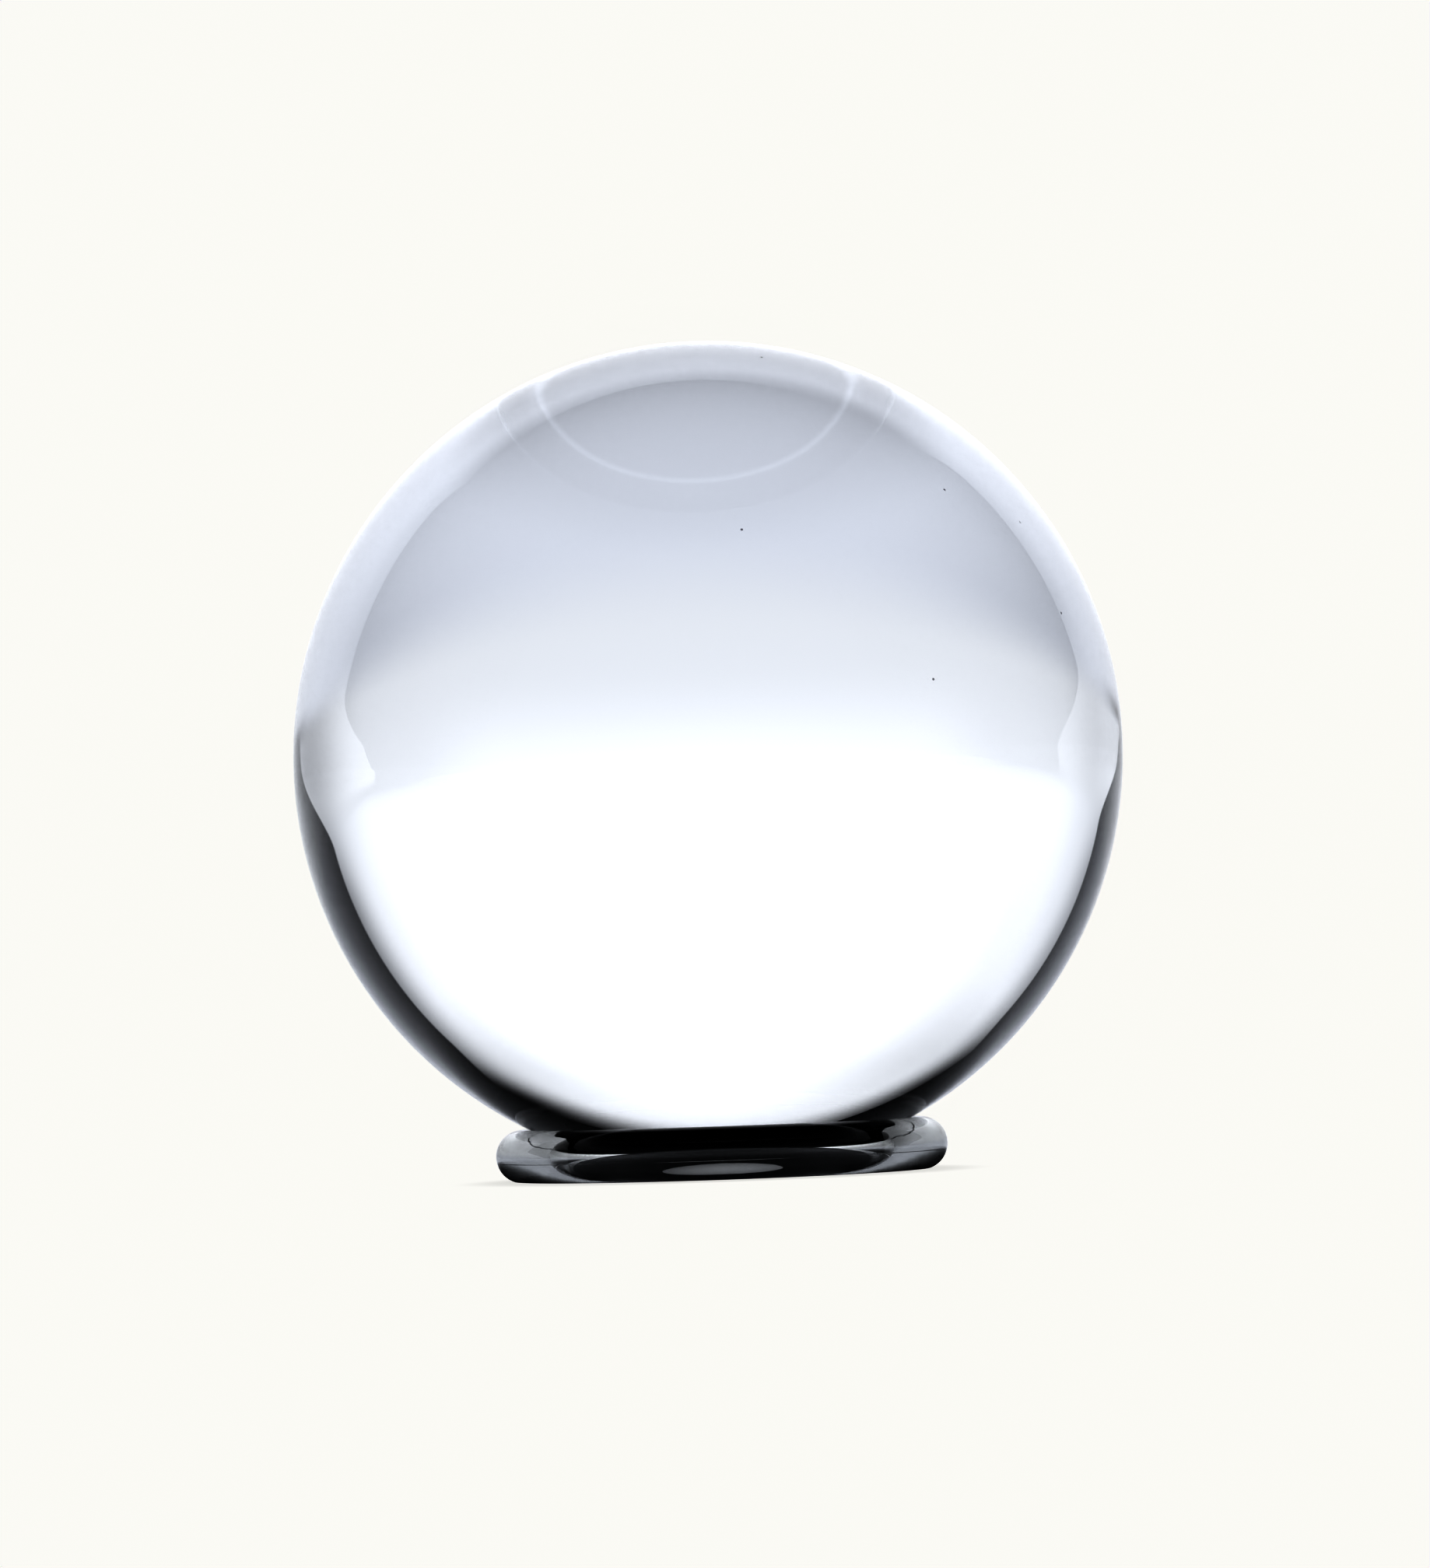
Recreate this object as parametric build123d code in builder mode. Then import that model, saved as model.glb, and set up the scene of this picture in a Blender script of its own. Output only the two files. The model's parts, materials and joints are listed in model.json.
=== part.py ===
"""A solid glass crystal ball that sits loose in a clear glass ring stand.

The frame is in millimetres with +Z up. The origin is on the table under the ball's centre,
in the middle of the ring stand's ground foot.
"""

import os
from math import sqrt

from build123d import *

os.makedirs("parts", exist_ok=True)

# Driving dimensions
BALL_DIAMETER = 150.0           # a six inch ball
RING_OUTER_DIAMETER = 81.5      # across the widest part of the ring stand
RING_BAR_DIAMETER = 9.5         # round bar that the ring is formed from
FOOT_GRIND_DEPTH = 0.25         # taken off the bar's underside, so that the ring stands flat
FOOT_EDGE_BREAK = 0.15          # polished edges of the ground foot
SEAT_GAP = 0.1                  # clearance between the ball and the ring, measured along their normal

# Worked out from them
ball_radius = BALL_DIAMETER / 2
bar_radius = RING_BAR_DIAMETER / 2
ring_radius = RING_OUTER_DIAMETER / 2 - bar_radius      # from the vertical axis to the bar's centre
bar_height = bar_radius - FOOT_GRIND_DEPTH              # of the bar's centre above the table
foot_half_width = sqrt(bar_radius**2 - bar_height**2)
ball_to_bar = ball_radius + SEAT_GAP + bar_radius       # between the ball's and the bar's centres
ball_height = bar_height + sqrt(ball_to_bar**2 - ring_radius**2)

# Ring stand: the bar's round section, flat underneath, turned about the vertical axis
with BuildPart() as ring_stand:
    with BuildSketch(Plane.XZ) as bar_section:
        with BuildLine():
            foot_line = Line(
                (ring_radius - foot_half_width, 0),
                (ring_radius + foot_half_width, 0),
            )
            ThreePointArc(
                foot_line @ 1,
                (ring_radius, bar_height + bar_radius),
                foot_line @ 0,
            )
        make_face()
    revolve(axis=Axis.Z)
    foot_face = ring_stand.faces().filter_by(GeomType.PLANE).sort_by(Axis.Z)[0]
    fillet(foot_face.edges(), radius=FOOT_EDGE_BREAK)
ring_stand.part.label = "ring_stand"

# Crystal ball: one solid sphere, held over the table by the ring's inner shoulder
with BuildPart(Plane.XY.offset(ball_height)) as crystal_ball:
    Sphere(radius=ball_radius)
crystal_ball.part.label = "crystal_ball"

export_step(ring_stand.part, "parts/ring_stand.step")
export_step(crystal_ball.part, "parts/crystal_ball.step")

# The bar leans against the ball at seat_radius from the vertical axis.
seat_radius = ring_radius * ball_radius / ball_to_bar
print(f"ball centre {ball_height:.2f} mm and ball bottom {ball_height - ball_radius:.2f} mm above the table")
print(f"seat circle {2 * seat_radius:.2f} mm across, ring {bar_height + bar_radius:.2f} mm high")
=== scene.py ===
# %% [markdown]
# # A crystal ball on its ring stand
#
# The object is two pieces of clear glass: a solid polished ball, and the ring that it rests in.
# Clear glass has no colour to paint, so nearly everything that is seen in it is the room, bent by
# its shapes. The lesson is therefore about three things: meshes smooth enough to be lenses, an
# honest glass with the small marks that real glass has, and a photographer's bright-field set.
#
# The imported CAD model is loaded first. Every size below comes from it.

# %% The fixed frame
import json
import math

import bpy
from mathutils import Matrix, Vector

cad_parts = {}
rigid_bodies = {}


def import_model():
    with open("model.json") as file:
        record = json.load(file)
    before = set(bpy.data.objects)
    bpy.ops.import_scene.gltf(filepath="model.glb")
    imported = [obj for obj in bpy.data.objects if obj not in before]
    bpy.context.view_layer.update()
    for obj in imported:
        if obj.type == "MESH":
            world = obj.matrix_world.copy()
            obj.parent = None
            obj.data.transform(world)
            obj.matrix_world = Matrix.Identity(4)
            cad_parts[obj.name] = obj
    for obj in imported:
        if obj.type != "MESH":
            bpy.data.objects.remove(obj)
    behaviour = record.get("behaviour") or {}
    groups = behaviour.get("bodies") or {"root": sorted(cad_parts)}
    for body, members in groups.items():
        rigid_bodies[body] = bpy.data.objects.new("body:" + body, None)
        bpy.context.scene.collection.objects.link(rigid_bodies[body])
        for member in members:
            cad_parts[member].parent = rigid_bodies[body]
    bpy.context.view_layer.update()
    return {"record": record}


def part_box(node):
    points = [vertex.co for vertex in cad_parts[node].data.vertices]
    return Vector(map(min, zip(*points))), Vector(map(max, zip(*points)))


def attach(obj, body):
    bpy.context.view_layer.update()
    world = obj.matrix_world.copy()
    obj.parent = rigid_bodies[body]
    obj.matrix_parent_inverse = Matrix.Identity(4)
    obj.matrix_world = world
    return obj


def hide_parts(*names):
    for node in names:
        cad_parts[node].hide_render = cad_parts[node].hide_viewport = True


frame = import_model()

ball_low, ball_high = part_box("crystal_ball")
ring_low, ring_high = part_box("ring_stand")
BALL_RADIUS = (ball_high.z - ball_low.z) / 2
BALL_CENTRE = Vector((0, 0, (ball_high.z + ball_low.z) / 2))
print(f"ball radius {BALL_RADIUS:.4f} m, its centre {BALL_CENTRE.z:.4f} m above the table")

# %% [markdown]
# The ring stand is a round glass bar bent into a ring, with its underside ground flat. The record's
# mount lies in the middle of that flat foot, so it gives the ring's own radius, and the ring's box
# gives the rest.

# %% The ring stand's measures
ring_foot = frame["record"]["mounts"][0]
RING_RADIUS = ring_foot["pos_m"][0]
BAR_RADIUS = ring_high.x - RING_RADIUS
BAR_HEIGHT = ring_high.z - BAR_RADIUS
print(f"ring radius {RING_RADIUS:.4f} m, bar radius {BAR_RADIUS:.5f} m, bar {BAR_HEIGHT:.5f} m up")

# %% [markdown]
# ## Small helpers for modelling by hand
#
# An edit-mode operator works on whatever is selected, so each piece starts from a clean selection.
# These helpers say in one word what a person does with a click or a key.

# %% Selection and finishing helpers
def deselect_everything():
    """Leaves no object selected, so that an operator can't touch a neighbour."""
    for item in bpy.context.view_layer.objects:
        item.select_set(False)


def start_piece(name):
    """Names the new primitive and opens it in edit mode, with all of it selected."""
    piece = bpy.context.object
    piece.name = name
    piece.data.name = name
    bpy.ops.object.mode_set(mode="EDIT")
    bpy.ops.mesh.select_all(action="SELECT")
    return piece


def select_vertices(piece, wanted):
    """Selects the vertices whose place passes the test, and nothing else."""
    bpy.ops.mesh.select_mode(type="VERT")
    bpy.ops.mesh.select_all(action="DESELECT")
    bpy.ops.object.mode_set(mode="OBJECT")
    for vertex in piece.data.vertices:
        vertex.select = wanted(piece.matrix_world @ vertex.co)
    bpy.ops.object.mode_set(mode="EDIT")


def finish_piece(piece):
    """Closes edit mode and applies the place, so that the object sits at the origin, unturned."""
    bpy.ops.object.mode_set(mode="OBJECT")
    deselect_everything()
    piece.select_set(True)
    bpy.context.view_layer.objects.active = piece
    bpy.ops.object.transform_apply(location=True, rotation=True, scale=True)
    bpy.ops.object.shade_smooth()
    print(f"{piece.name}: {len(piece.data.polygons)} faces")


deselect_everything()

# %% [markdown]
# ## The camera
#
# The ball is seen from twelve radii away through a long lens, from just above the table, so the
# ring stand shows almost edge on. The camera looks slightly upwards and leans two degrees, which
# makes the ring rise to the right.

# %% The camera, aimed a little below and to the right of the ball's centre
CAMERA_DISTANCE = 12.0 * BALL_RADIUS
LOOK_UP = math.radians(3.4)
AIM_BELOW = math.radians(0.324)
AIM_RIGHT = math.radians(0.079)
CAMERA_LEAN = math.radians(2.0)
LENS_MM = 113.84
SENSOR_MM = 36.0

towards_ball = Vector((0, math.cos(LOOK_UP), math.sin(LOOK_UP)))
bpy.ops.object.camera_add(location=BALL_CENTRE - towards_ball * CAMERA_DISTANCE)
camera = bpy.context.object
camera.name = "camera"
camera.data.lens = LENS_MM
camera.data.sensor_width = SENSOR_MM
camera.data.dof.use_dof = False
heading = Matrix.Rotation(math.pi / 2 + LOOK_UP, 4, "X")
lean = Matrix.Rotation(-CAMERA_LEAN, 4, "Z")
aim = Matrix.Rotation(-AIM_BELOW, 4, "X") @ Matrix.Rotation(-AIM_RIGHT, 4, "Y")
camera.matrix_world = Matrix.Translation(camera.location) @ heading @ lean @ aim
bpy.context.scene.camera = camera
print(f"camera {camera.location.z:.3f} m above the table, {CAMERA_DISTANCE:.2f} m from the ball")

# %% [markdown]
# ## Shader maths in plain Python
#
# A material is a small program. Wrapping a socket in a class lets the program be written as an
# expression, such as `1 - mask`, and every operator adds the Math node that it stands for. Any
# other node comes from one method, which sets the node's settings first and its sockets after.

# %% A socket that understands + - * and abs
class Value:
    """One number that varies over a surface: an output socket with arithmetic."""

    def __init__(self, look, socket):
        self.look, self.socket = look, socket

    def maths(self, operation, *inputs):
        return self.look.node("ShaderNodeMath", {"operation": operation}, dict(enumerate(inputs)))

    def __add__(self, other):
        return self.maths("ADD", self, other)

    def __sub__(self, other):
        return self.maths("SUBTRACT", self, other)

    def __rsub__(self, other):
        return self.maths("SUBTRACT", other, self)

    def __mul__(self, other):
        return self.maths("MULTIPLY", self, other)

    def __abs__(self):
        return self.maths("ABSOLUTE", self)

    __radd__, __rmul__ = __add__, __mul__


class Look:
    """A material or a world whose nodes are added one call at a time."""

    def __init__(self, owner):
        owner.use_nodes = True
        self.owner = owner
        self.tree = owner.node_tree
        self.tree.nodes.clear()

    def node(self, kind, settings=None, inputs=None, output=0):
        """Adds a node, sets its settings first, then its sockets, and returns one output."""
        made = self.tree.nodes.new(kind)
        for name, value in (settings or {}).items():
            setattr(made, name, value)
        for name, value in (inputs or {}).items():
            if isinstance(value, Value):
                self.tree.links.new(value.socket, made.inputs[name])
            else:
                made.inputs[name].default_value = value
        return Value(self, made.outputs[output]) if made.outputs else None

    def place(self):
        """The point on the piece, in metres from the middle of the ring's foot."""
        return self.node("ShaderNodeTexCoord", None, None, "Object")

    def along(self, vector, axis):
        """One coordinate, X, Y or Z, of a vector."""
        return self.node("ShaderNodeSeparateXYZ", None, {0: vector}, axis)

    def vector_maths(self, operation, *inputs, output="Vector"):
        settings = {"operation": operation}
        return self.node("ShaderNodeVectorMath", settings, dict(enumerate(inputs)), output)

    def glow(self, colour, strength=1.0):
        """A surface that gives light of its own."""
        return self.node("ShaderNodeEmission", None, {"Color": colour, "Strength": strength})

    def mixed_colour(self, mask, first, second):
        """The first colour where the mask is 0, the second where it is 1."""
        return self.node("ShaderNodeMix", {"data_type": "RGBA"}, {0: mask, 6: first, 7: second}, 2)

    def seen_directly(self):
        """1 where the camera itself looks, 0 for all that is seen through glass or mirrored in it."""
        return self.node("ShaderNodeLightPath", None, None, "Is Camera Ray")

    def finish(self, **outputs):
        """Joins the shaders to the output node by its socket names."""
        is_world = isinstance(self.owner, bpy.types.World)
        kind = "ShaderNodeOutputWorld" if is_world else "ShaderNodeOutputMaterial"
        self.node(kind, None, outputs)
        print(f"{self.owner.name}: {len(self.tree.nodes)} nodes")


def painted_look(piece, name):
    """Gives a piece a new material, and returns its Look."""
    look = Look(bpy.data.materials.new(name))
    piece.data.materials.append(look.owner)
    return look


def ease(value, low, high):
    """0 below low, 1 above high, and an eased rise between them."""
    inputs = {"Value": value, "From Min": low, "From Max": high}
    return value.look.node("ShaderNodeMapRange", {"interpolation_type": "SMOOTHSTEP"}, inputs)

# %% [markdown]
# ## The film
#
# The picture is shown with strong contrast: its levels are raised to a power, as a hard print
# does, so a slight unevenness of the white paper shows as a clear grey. The plain background is
# given as the levels that it should have on the print, and worked back to the light behind them.

# %% The film's contrast
FILM_CONTRAST = 2.8


def seen_as(*levels):
    """The light that the print shows as these levels, each from 0 to 255."""
    before_contrast = [(level / 255) ** (1 / FILM_CONTRAST) for level in levels]
    return [((value + 0.055) / 1.055) ** 2.4 for value in before_contrast] + [1.0]


bpy.context.scene.view_settings.view_transform = "Standard"
bpy.context.scene.view_settings.gamma = 1 / FILM_CONTRAST
BACKGROUND = seen_as(251, 250, 245)
print("background light:", [round(value, 3) for value in BACKGROUND])

# %% [markdown]
# ## The set: a glowing white table
#
# Glass is lit from behind and below, from a broad sheet of white paper. The table's part of it is a
# wide disc. Its glow is painted light: painted shade makes it dark under the ball and inside the
# ring, and painted falloff makes it a little dimmer at both sides and fade out far away, except in
# front. The camera doesn't see it, only the glass.

# %% The glow of the table
PAPER_TINT = (0.935, 0.952, 1.0, 1.0)
PAPER_GLOW = 0.98
PAINTED_SHADE_INSIDE, PAINTED_SHADE_OUTSIDE = 0.036, 0.095
PAINTED_SIDE_DIM = 0.08
SIDE_FROM, SIDE_TO = 0.05, 0.25
FADE_FROM, FADE_TO = 0.6, 1.4
FRONT_DEPTH = 0.5


def reach_from_axis(look):
    """How far a point is from the upright line through the ball."""
    flat = look.vector_maths("MULTIPLY", look.place(), (1, 1, 0))
    return look.vector_maths("LENGTH", flat, output="Value")


def table_glow(look):
    """How strongly the table glows at a point: painted light, with painted shade under the ball."""
    reach = reach_from_axis(look)
    # painted falloff: the glow is painted dimmer at both sides and fading far away, except in front
    aside = ease(abs(look.along(look.place(), "X")), SIDE_FROM, SIDE_TO)
    not_in_front = 1 - ease(look.along(look.place(), "Y") * -1, 0, FRONT_DEPTH)
    faded = ease(reach, FADE_FROM, FADE_TO) * not_in_front
    # painted shade: the glow is painted dark under the ball and inside the ring
    clear_of_painted_shade = ease(reach, PAINTED_SHADE_INSIDE, PAINTED_SHADE_OUTSIDE)
    return clear_of_painted_shade * (1 - faded) * (1 - aside * PAINTED_SIDE_DIM) * PAPER_GLOW

# %% The table's disc
TABLE_RADIUS = 1.5
TABLE_HEIGHT = -0.0006
DISC_POINTS = 96


def add_disc(name, radius, height):
    """A flat round disc that belongs to the set and not to the object."""
    settings = {"vertices": DISC_POINTS, "radius": radius, "fill_type": "NGON"}
    bpy.ops.mesh.primitive_circle_add(location=(0, 0, height), **settings)
    disc = start_piece(name)
    finish_piece(disc)
    return disc


table = add_disc("glowing_table", TABLE_RADIUS, TABLE_HEIGHT)
table.visible_camera = False
table_look = painted_look(table, "glowing_table")
table_look.finish(Surface=table_look.glow(PAPER_TINT, table_glow(table_look)))

# %% [markdown]
# The camera sees a plain pale floor instead, exactly as bright as the background behind it, so that
# no horizon shows. A table that is lit from within takes no cast shadow. Right beside the ring's
# foot a soft contact shadow is painted into the floor's glow, so it gets a little darker there.
# Through the glass the floor shows the table's painted glow.

# %% The floor that the camera sees
FLOOR_RADIUS = 0.3
FLOOR_HEIGHT = -0.0002
PAINTED_CONTACT_SHADE = 0.1
PAINTED_CONTACT_WIDTH = 0.012

floor = add_disc("floor", FLOOR_RADIUS, FLOOR_HEIGHT)
floor_look = painted_look(floor, "pale_floor")
painted_contact_start = ring_high.x - PAINTED_CONTACT_WIDTH / 4
away = ease(reach_from_axis(floor_look), painted_contact_start, painted_contact_start + PAINTED_CONTACT_WIDTH)
# painted contact shadow: the plain floor glows a little less right beside the ring's foot
plain = floor_look.glow(BACKGROUND, 1 - (1 - away) * PAINTED_CONTACT_SHADE)
glow = floor_look.glow(PAPER_TINT, table_glow(floor_look))
choice = {0: floor_look.seen_directly(), 1: glow, 2: plain}
floor_look.finish(Surface=floor_look.node("ShaderNodeMixShader", None, choice))

# %% [markdown]
# ## The set: a glowing backdrop in a dark room
#
# Behind the ball the paper rises in a curve, and the room beyond its edges is nearly black. The ball
# turns the view upside down, so its grey top is the table, its white middle is this sheet, and the
# black crescents below are the room. The sheet could be a flat wall, but a curve meets the table
# without a crease. It is drawn as its profile: the far edge of a first strip is pulled backwards and
# up, one stretch after another. The sheet hangs on the camera stand, so it stands behind the ball
# from whichever side the ball is seen.

# %% The backdrop sheet, pulled out along its profile
SHEET_HALF_WIDTH = 2.6
SHEET_DEPTH = 1.5
SHEET_PROFILE = ((0.23, 0), (0.42, 0.07), (0.58, 0.24), (0.70, 0.47), (0.78, 0.73), (0.84, 1.10),
                 (0.92, 1.40), (1.0, 1.7))
FIRST_STRIP = 0.02


def hang_on_camera(piece):
    """The piece goes where the camera goes, and is seen by the glass alone."""
    piece.visible_camera = False
    bpy.context.view_layer.update()
    piece.parent = camera
    piece.matrix_parent_inverse = camera.matrix_world.inverted()


corners = [Vector((0, y, z)) * SHEET_DEPTH for y, z in SHEET_PROFILE]
strip_middle = corners[0] - Vector((0, FIRST_STRIP / 2, 0))
bpy.ops.mesh.primitive_plane_add(size=1, location=strip_middle)
sheet = start_piece("backdrop")
bpy.ops.transform.resize(value=(2 * SHEET_HALF_WIDTH, FIRST_STRIP, 1))
select_vertices(sheet, lambda place: place.y > strip_middle.y)
for start, end in zip(corners, corners[1:]):
    bpy.ops.mesh.extrude_region_move(TRANSFORM_OT_translate={"value": end - start})
finish_piece(sheet)
hang_on_camera(sheet)

# %% [markdown]
# The light on the sheet follows the direction in which the ball sees it, by its elevation and by its
# angle from the middle of the view. It is painted light that stands in for lamps: one broad painted
# hot spot above the middle, and a painted brighter top. Far from the middle the painted light fades
# out, and then the sheet ends. Its right side is painted with less light than its left.

# %% Directions in which the ball sees the sheet
MIDDLE = (math.radians(-3.5), LOOK_UP)
HOT_SPOT = (math.radians(2.5), math.radians(20))


def direction_from_ball(look):
    """The unit vector from the ball's centre to a point."""
    return look.vector_maths("NORMALIZE", look.vector_maths("SUBTRACT", look.place(), BALL_CENTRE))


def direction_to(azimuth, elevation):
    """The unit vector towards an azimuth, clockwise from straight back, and an elevation."""
    level = math.cos(elevation)
    return (level * math.sin(azimuth), level * math.cos(azimuth), math.sin(elevation))


def angle_from(direction, aim):
    """The angle between the direction of a point and a fixed aim."""
    cosine = direction.look.vector_maths("DOT_PRODUCT", direction, direction_to(*aim), output="Value")
    return cosine.maths("ARCCOSINE", cosine)


def beyond(angle, low, high):
    """Eases from 0 to 1 while an angle goes from low to high, both in degrees."""
    return ease(angle, math.radians(low), math.radians(high))


def climb(direction, low, high):
    """Eases from 0 to 1 while a direction's elevation goes from low to high, both in degrees."""
    height = direction.look.along(direction, "Z")
    return ease(height, math.sin(math.radians(low)), math.sin(math.radians(high)))


sheet_look = painted_look(sheet, "glowing_paper")
direction = direction_from_ball(sheet_look)
x, y = sheet_look.along(direction, "X"), sheet_look.along(direction, "Y")
azimuth = x.maths("ARCTAN2", x, y)
off_axis = angle_from(direction, MIDDLE)

# %% Painted light on the backdrop: a hot spot, a bright top and a slow rise from the table up
HOT_GLOW, HOT_SPREAD, HOT_RISE = 0.42, (2, 36), (0, 20)
TOP_GLOW, TOP_RISE = 0.12, (38, 51)
LEVEL_GLOW, LEVEL_RISE = 0.1, (-8, 14)

near_top = climb(direction, *TOP_RISE)
# painted hot spot and painted brighter top, standing in for lamps on the paper
painted_hot_spot = 1 - beyond(angle_from(direction, HOT_SPOT), *HOT_SPREAD)
hot = painted_hot_spot * climb(direction, *HOT_RISE) * HOT_GLOW
painted_lamp_light = hot + near_top * TOP_GLOW + climb(direction, *LEVEL_RISE) * LEVEL_GLOW + 1

# %% Where the light fades and where the sheet ends, in degrees from the middle of the view
FADE_START, FADE_END, FADE_END_EARLIER_AT_TOP = 47.5, 70, 9.5
FADE_RISE = (5, 20)
EDGE, EDGE_WIDER_AT_TABLE, EDGE_WIDER_AT_TOP = 57, 17, 4
EDGE_SOFTNESS = 1
TABLE_RISE = (0, 12)
LEFT_LOSS, LEFT_RANGE = 0.12, (40, 56)
RIGHT_LOSS, RIGHT_RANGE = 0.43, (36, 66)

fade_end = math.radians(FADE_END) - near_top * math.radians(FADE_END_EARLIER_AT_TOP)
fading = 1 - ease(off_axis, math.radians(FADE_START), fade_end) * climb(direction, *FADE_RISE)
at_table = 1 - climb(direction, *TABLE_RISE)
wider = at_table * math.radians(EDGE_WIDER_AT_TABLE) + near_top * math.radians(EDGE_WIDER_AT_TOP)
edge = wider + math.radians(EDGE)
inside = 1 - ease(off_axis, edge, edge + math.radians(EDGE_SOFTNESS))
# painted falloff: less light is painted on the sheet's left side, and more is taken off its right
left_loss = beyond(azimuth * -1, *LEFT_RANGE) * LEFT_LOSS
right_loss = beyond(azimuth, *RIGHT_RANGE) * RIGHT_LOSS
sheet_glow = painted_lamp_light * fading * inside * (1 - left_loss - right_loss)

# %% The sheet's glow, joined to the table's without a crease
BACKDROP_TINT = (0.965, 0.975, 1.0, 1.0)
JOIN_HEIGHT = 0.04

upper = ease(sheet_look.along(sheet_look.place(), "Z"), 0, JOIN_HEIGHT)
strength = table_glow(sheet_look) * (1 - upper) + sheet_glow * upper
tint = sheet_look.mixed_colour(upper, PAPER_TINT, BACKDROP_TINT)
sheet_look.finish(Surface=sheet_look.glow(tint, strength))

# %% [markdown]
# ## The set: a low screen in front
#
# The ball's front is also a mirror, which shows the bright table and, over its edge, the dark room.
# That edge would cross the whole ball as a line. A low curved screen round the front carries the
# table's glow on upwards and lets it die away slowly, so the mirror image has no edge.

# %% The screen, half a hoop drawn upwards
SCREEN_RADIUS = 1.45
SCREEN_HEIGHT = 0.7
SCREEN_POINTS = 64

bpy.ops.mesh.primitive_circle_add(vertices=SCREEN_POINTS, radius=SCREEN_RADIUS)
screen = start_piece("front_screen")
bpy.ops.mesh.bisect(plane_co=(0, 0, 0), plane_no=(0, 1, 0), clear_outer=True)
bpy.ops.mesh.select_all(action="SELECT")
bpy.ops.mesh.extrude_region_move(TRANSFORM_OT_translate={"value": (0, 0, SCREEN_HEIGHT)})
finish_piece(screen)
hang_on_camera(screen)

# %% The screen's glow, which dies away upwards and towards both ends
DYING_RISE = (-3, 20)
END_FACING, FULL_FACING = 0.05, 0.6

screen_look = painted_look(screen, "fading_paper")
direction = direction_from_ball(screen_look)
facing = ease(screen_look.along(direction, "Y") * -1, END_FACING, FULL_FACING)
screen_glow = (1 - climb(direction, *DYING_RISE)) * facing
screen_look.finish(Surface=screen_look.glow(PAPER_TINT, screen_glow))

# %% [markdown]
# The world is the room. The glass sees it nearly black, and the camera sees the plain background.

# %% The dark room
ROOM_DARK = (0.01, 0.011, 0.012, 1.0)

room = Look(bpy.data.worlds.new("dark_room"))
bpy.context.scene.world = room.owner
pale = room.node("ShaderNodeBackground", None, {"Color": BACKGROUND})
dark = room.node("ShaderNodeBackground", None, {"Color": ROOM_DARK})
choice = {0: room.seen_directly(), 1: dark, 2: pale}
room.finish(Surface=room.node("ShaderNodeMixShader", None, choice))

# %% [markdown]
# ## The ball
#
# The real ball is ground and polished from one block of glass, true to a few hundredths of a
# millimetre, and it works as a strong lens, so the slightest facet would show. A UV sphere pinches
# its faces at two poles. A cube that is divided finely and cast onto a sphere has none, and its
# faces stay nearly square.

# %% The ball's mesh
BALL_CUTS = 100
bpy.ops.mesh.primitive_cube_add(size=2 * BALL_RADIUS, location=BALL_CENTRE)
ball = start_piece("ball")
bpy.ops.mesh.subdivide(number_cuts=BALL_CUTS)
bpy.ops.object.mode_set(mode="OBJECT")
rounding = ball.modifiers.new("rounding", "CAST")
rounding.factor = 1.0
rounding.use_radius_as_size = False
rounding.size = BALL_RADIUS
bpy.ops.object.modifier_apply(modifier=rounding.name)
finish_piece(ball)
distances = [(vertex.co - BALL_CENTRE).length for vertex in ball.data.vertices]
print(f"ball radius from {1000 * min(distances):.4f} to {1000 * max(distances):.4f} mm")

# %% [markdown]
# ## The ring stand
#
# The real ring is drawn glass bar, bent round and fused, then ground flat underneath so that it
# stands without rocking. A torus could be added ready made, but it has no foot. Instead the bar's
# round section is drawn as a circle, cut off at table height, closed with a straight foot whose
# two corners are rounded off, and spun about the upright axis. The spin's two ends are merged and
# the faces turned outwards.

# %% The ring's section: a circle with a flat foot
SECTION_POINTS = 160
SPIN_STEPS = 480
FOOT_EDGE_BREAK = 0.00015
FOOT_EDGE_SEGMENTS = 4
SAME_POINT = 1e-6

placing = {"location": (RING_RADIUS, 0, BAR_HEIGHT), "rotation": (math.pi / 2, 0, 0)}
bpy.ops.mesh.primitive_circle_add(vertices=SECTION_POINTS, radius=BAR_RADIUS, **placing)
ring = start_piece("ring")
bpy.ops.mesh.bisect(plane_co=(0, 0, 0), plane_no=(0, 0, 1), clear_inner=True, threshold=SAME_POINT)
select_vertices(ring, lambda place: place.z < 2 * SAME_POINT)
bpy.ops.mesh.edge_face_add()
bpy.ops.mesh.bevel(affect="VERTICES", offset=FOOT_EDGE_BREAK, segments=FOOT_EDGE_SEGMENTS)

# %% The section spun into a ring
bpy.ops.mesh.select_all(action="SELECT")
bpy.ops.mesh.spin(steps=SPIN_STEPS, angle=2 * math.pi, center=(0, 0, 0), axis=(0, 0, 1))
bpy.ops.mesh.select_all(action="SELECT")
bpy.ops.mesh.remove_doubles(threshold=SAME_POINT)
bpy.ops.mesh.normals_make_consistent(inside=False)
finish_piece(ring)

# %% [markdown]
# ## Glass
#
# Both pieces are clear glass: a surface that refracts, over a body that takes away a little light
# on the way through. On top of that come the marks that tell real glass from perfect glass: dust,
# faint smudges where it was handled, a few hairline scratches, and the slow waves left by polishing
# or drawing. They are three-dimensional patterns in the object's own space, so they need no
# unwrapping, and each is a number from 0 to 1 that later nodes use as a mask.

# %% Marks that both pieces have
SMALLEST_SPECK = 0.3
CLOUD_DETAIL = 3.0
SCRATCH_STRETCH = (1, 0.35, 0.8)
SCRATCHED_FROM, SCRATCHED_TO = 0.56, 0.62


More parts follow.
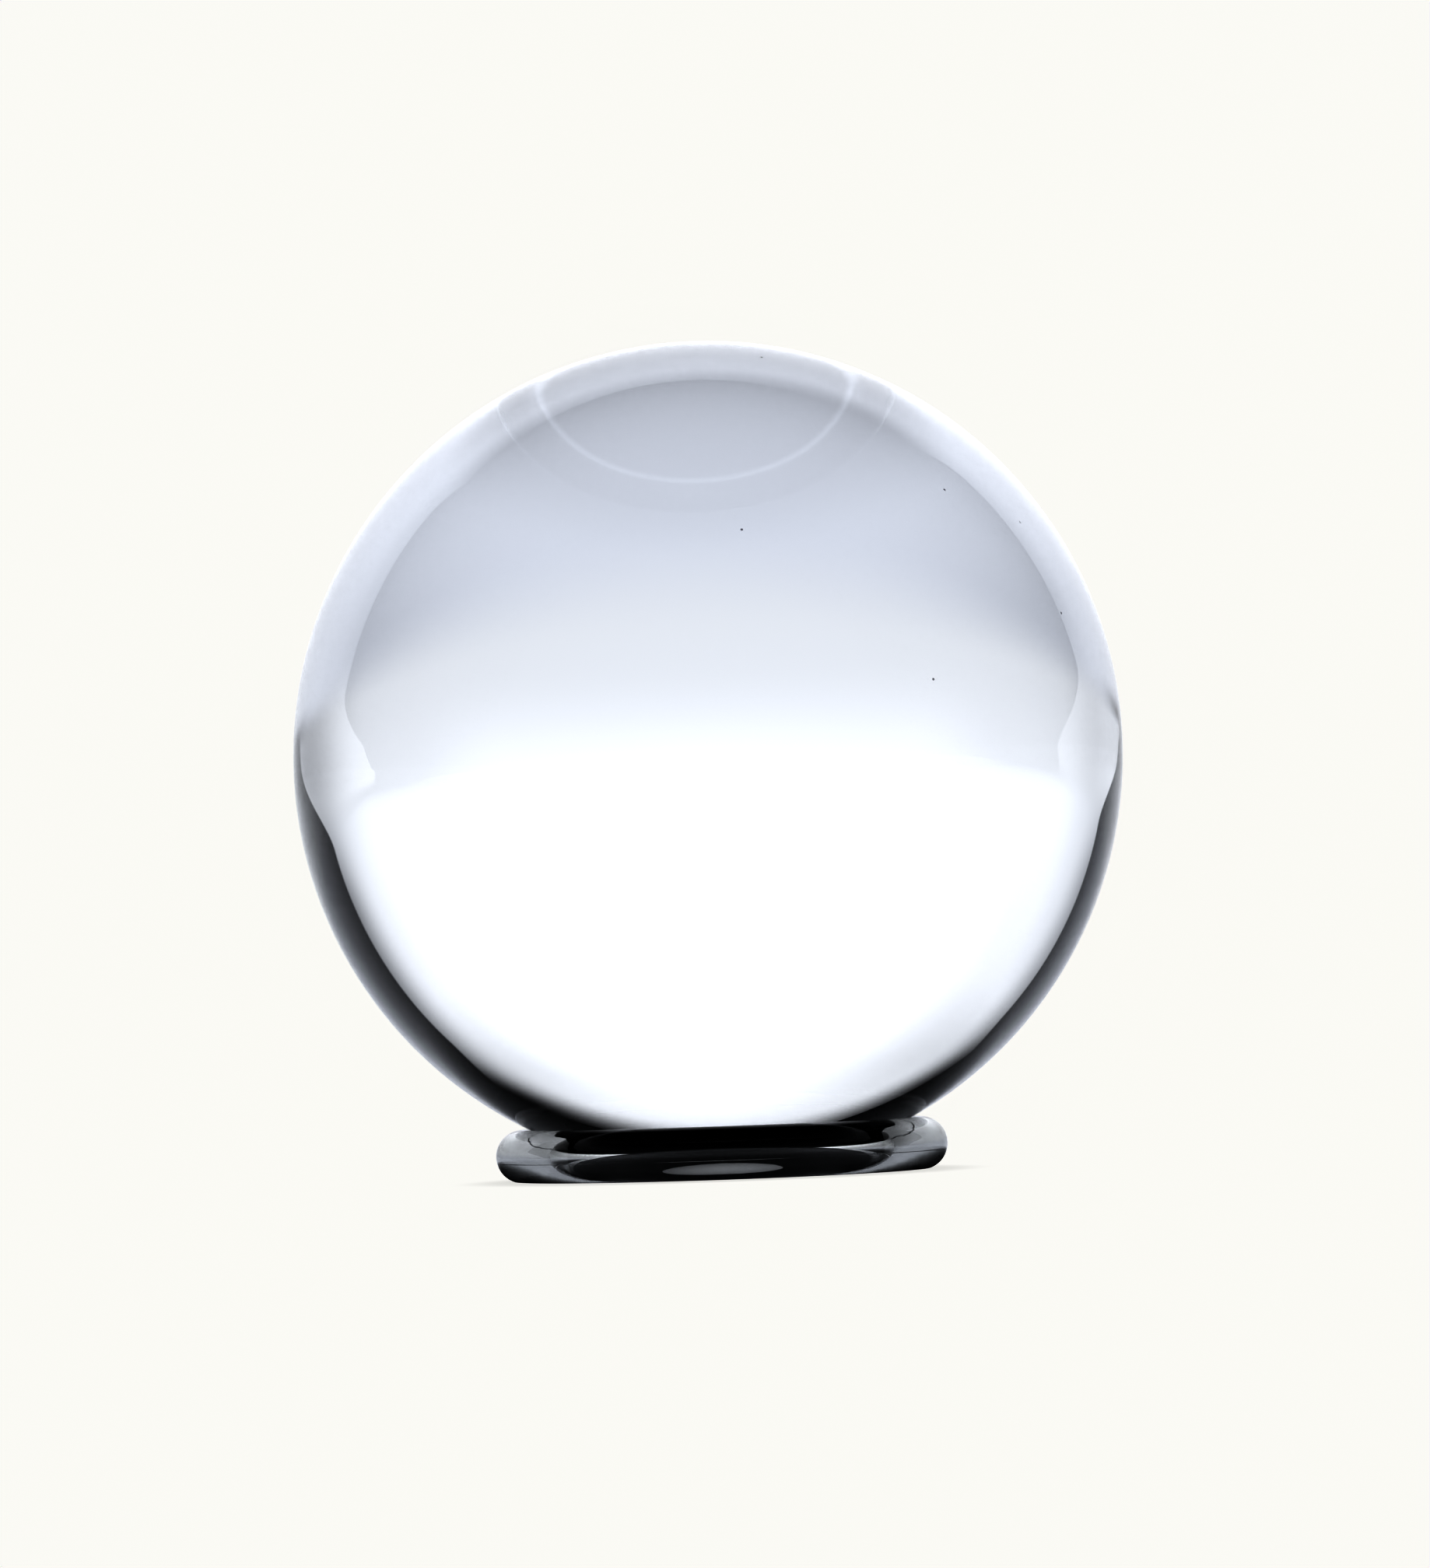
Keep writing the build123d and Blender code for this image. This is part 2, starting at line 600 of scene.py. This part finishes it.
def dust(look, spacing, size):
    """Small round specks of uneven size, at most one to each cell of the given spacing."""
    inputs = {"Vector": look.place(), "Scale": 1 / spacing}
    distance = look.node("ShaderNodeTexVoronoi", None, inputs, "Distance") * spacing
    cell_colour = look.node("ShaderNodeTexVoronoi", None, inputs, "Color")
    chance = look.node("ShaderNodeSeparateColor", None, {0: cell_colour})
    return 1 - ease(distance, chance * (SMALLEST_SPECK * size), chance * size)


def cloud(look, size, detail, stretch):
    """A soft cloud of numbers round 0.5; a stretch under 1 draws it out along that axis."""
    place = look.vector_maths("MULTIPLY", look.place(), stretch)
    inputs = {"Vector": place, "Scale": 1 / size, "Detail": detail}
    return look.node("ShaderNodeTexNoise", None, inputs, "Fac")


def patches(look, size, low, high, stretch=(1, 1, 1)):
    """Soft cloudy patches about as wide as the given size; higher limits leave fewer of them."""
    return ease(cloud(look, size, CLOUD_DETAIL, stretch), low, high)


def hairlines(look, length, width):
    """Fine scratches: the thin lines along which a stretched cloud crosses its middle level."""
    off_middle = abs(cloud(look, length, 0.0, SCRATCH_STRETCH) - 0.5)
    line = 1 - ease(off_middle, 0, width / length)
    return line * patches(look, length / 2, SCRATCHED_FROM, SCRATCHED_TO)

# %% [markdown]
# One function makes the glass from its marks. The refraction strength and the colour of the glass
# body are the same all over, so they are set on the shader's own sockets. Relief is given in
# millimetres and reaches the surface as a bump. The body is a volume that absorbs: the longer the
# way through the glass, the darker and more coloured it looks.

# %% The glass shader
MILLIMETRE = 0.001
CLEAN_GLASS = (1.0, 1.0, 1.0, 1.0)
DUST_GREY = (0.16, 0.16, 0.17, 1.0)


def paint_glass(piece, name, refraction, body_colour, body_density, marks):
    """Clear glass; marks(look) gives the dirt mask, the roughness and the relief in millimetres."""
    look = painted_look(piece, name)
    dirt, roughness, relief = marks(look)
    normal = look.node("ShaderNodeBump", None, {"Height": relief, "Distance": MILLIMETRE}, "Normal")
    surface = look.node("ShaderNodeBsdfPrincipled", None, {
        "Base Color": look.mixed_colour(dirt, CLEAN_GLASS, DUST_GREY),
        "Roughness": roughness,
        "IOR": refraction,
        "Transmission Weight": 1.0,
        "Normal": normal,
    })
    smoke = {"Color": body_colour, "Density": body_density}
    look.finish(Surface=surface, Volume=look.node("ShaderNodeVolumeAbsorption", None, smoke))

# %% [markdown]
# The ball is optical glass, ground and polished. It has a very slight blue cast through its full
# thickness, hardly any waves, a little dust, and a few dark flecks that catch the eye. The flecks
# are set one by one, by their angles from the front of the ball.

# %% Dark flecks in the ball
FLECKS = ((23, 66), (43, 34), (6, 27), (60, 16), (31, 6))
FLECK_RADIUS = 0.0003
FLECK_CORE = 0.4


def flecks(look):
    """Dark flecks on the front, each at an azimuth to the right and an elevation in degrees."""
    found = 0
    for azimuth, elevation in FLECKS:
        turn, rise = math.radians(azimuth), math.radians(elevation)
        level = math.cos(rise)
        outwards = Vector((level * math.sin(turn), -level * math.cos(turn), math.sin(rise)))
        spot = BALL_CENTRE + outwards * BALL_RADIUS
        distance = look.vector_maths("DISTANCE", look.place(), spot, output="Value")
        found = found + (1 - ease(distance, FLECK_CORE * FLECK_RADIUS, FLECK_RADIUS))
    return found

# %% The ball's marks: how dark, how rough and how many millimetres high each kind is
DUST_DARKNESS = 0.6
SMUDGE_ROUGHNESS, SCRATCH_ROUGHNESS, DIRT_ROUGHNESS = 0.012, 0.08, 0.3
WAVE_MM, SCRATCH_MM, DIRT_MM = 0.006, 0.0008, 0.01


def ball_marks(look):
    specks = dust(look, spacing=0.014, size=0.0004)
    scratches = hairlines(look, length=0.06, width=0.00004)
    smudges = patches(look, size=0.035, low=0.55, high=0.75)
    waves = patches(look, size=0.03, low=0.2, high=0.8)
    dirt = specks.maths("MAXIMUM", specks * DUST_DARKNESS, flecks(look))
    roughness = smudges * SMUDGE_ROUGHNESS + scratches * SCRATCH_ROUGHNESS + dirt * DIRT_ROUGHNESS
    relief = waves * WAVE_MM - scratches * SCRATCH_MM + dirt * DIRT_MM
    return dirt, roughness, relief

# %% The ball's glass
BALL_REFRACTION = 1.517
BALL_TINT = (0.8, 0.9, 1.0, 1.0)
BALL_DENSITY = 0.5

paint_glass(ball, "ball_glass", BALL_REFRACTION, BALL_TINT, BALL_DENSITY, ball_marks)

# %% [markdown]
# The ring is cheaper glass with a slightly smoky body, which takes light away wherever the way
# through it is long. It has stronger waves from drawing, a fine seam where the bar was held, more
# dust, and a matt ground foot.

# %% The ring's marks
SEAM_HEIGHT = 0.0034
SEAM_HALF_WIDTH = 0.00008
GROUND_DEPTH = 0.00012
GRAIN_SCALE = 9000.0
RING_DUST_DARKNESS = 0.7
RING_SMUDGE_ROUGHNESS, GROUND_ROUGHNESS = 0.02, 0.45
RING_WAVE_MM, SEAM_MM, GRAIN_MM = 0.012, 0.02, 0.01


def ring_marks(look):
    height = look.along(look.place(), "Z")
    reach = reach_from_axis(look)
    seam = 1 - ease(abs(height - SEAM_HEIGHT), 0, SEAM_HALF_WIDTH)
    outer_seam = seam * ease(reach, RING_RADIUS, RING_RADIUS + 0.5 * BAR_RADIUS)
    ground = 1 - ease(height, 0.3 * GROUND_DEPTH, GROUND_DEPTH)
    specks = dust(look, spacing=0.006, size=0.0003)
    smudges = patches(look, size=0.012, low=0.5, high=0.75)
    waves = patches(look, size=0.009, low=0.2, high=0.8, stretch=(1, 1, 2.5))
    grain = look.node("ShaderNodeTexNoise", None, {"Vector": look.place(), "Scale": GRAIN_SCALE}, "Fac")
    roughness = smudges * RING_SMUDGE_ROUGHNESS + specks * DIRT_ROUGHNESS + ground * GROUND_ROUGHNESS
    relief = waves * RING_WAVE_MM + outer_seam * SEAM_MM + ground * grain * GRAIN_MM
    return specks * RING_DUST_DARKNESS, roughness, relief

# %% The ring's glass
RING_REFRACTION = 1.52
RING_TINT = (0.5, 0.52, 0.52, 1.0)
RING_DENSITY = 30.0

paint_glass(ring, "ring_glass", RING_REFRACTION, RING_TINT, RING_DENSITY, ring_marks)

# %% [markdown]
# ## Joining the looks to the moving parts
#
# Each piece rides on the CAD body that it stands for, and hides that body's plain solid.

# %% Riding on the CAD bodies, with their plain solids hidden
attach(ball, "crystal_ball")
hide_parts("crystal_ball")
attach(ring, "ring_stand")
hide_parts("ring_stand")
